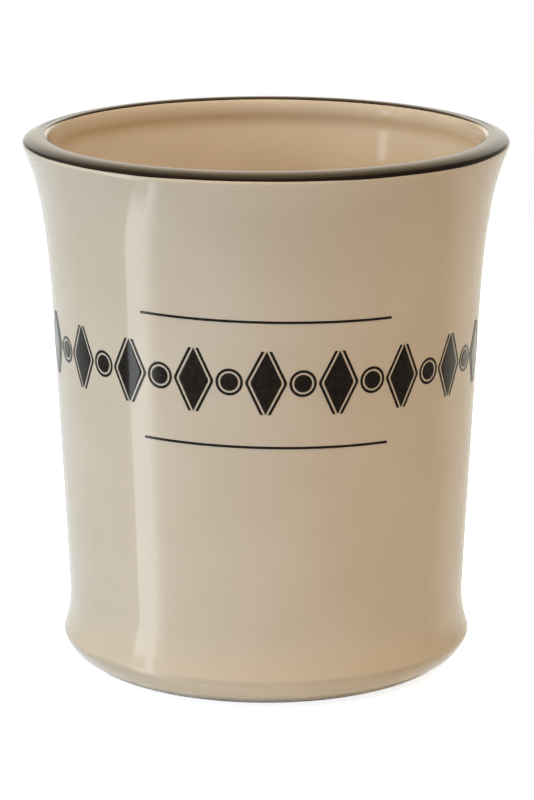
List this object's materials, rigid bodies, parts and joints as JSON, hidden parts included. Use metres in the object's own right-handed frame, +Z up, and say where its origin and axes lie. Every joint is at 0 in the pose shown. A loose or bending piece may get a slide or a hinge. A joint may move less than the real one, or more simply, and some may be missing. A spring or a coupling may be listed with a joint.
{
  "type": "utensil crock",
  "caption": "Flared glazed ceramic utensil crock with a rolled dark lip line, a foot bead and a printed geometric frieze.",
  "frame": {"origin": "centre of the foot, on the surface that the crock stands on", "axes": "+Z up along the crock's axis, -Y towards the printed front, +X to the right of the front"},
  "size_m": [0.1428, 0.1428, 0.16],
  "materials": {
    "fired_clay": "bare fired clay, matt and slightly rough",
    "cream_glaze": "warm cream gloss glaze",
    "rim_enamel": "black gloss enamel, brushed on by hand",
    "black_print": "black fired-on transfer, gloss"
  },
  "bodies": {
    "root": {"clay_body": "fired_clay", "glaze_coat": "cream_glaze", "underside_glaze": "cream_glaze", "rim_line": "rim_enamel", "upper_rule": "black_print", "lower_rule": "black_print", "frieze_lozenges": "black_print", "frieze_spots": "black_print", "frieze_hairlines": "black_print"}
  },
  "joints": []
}
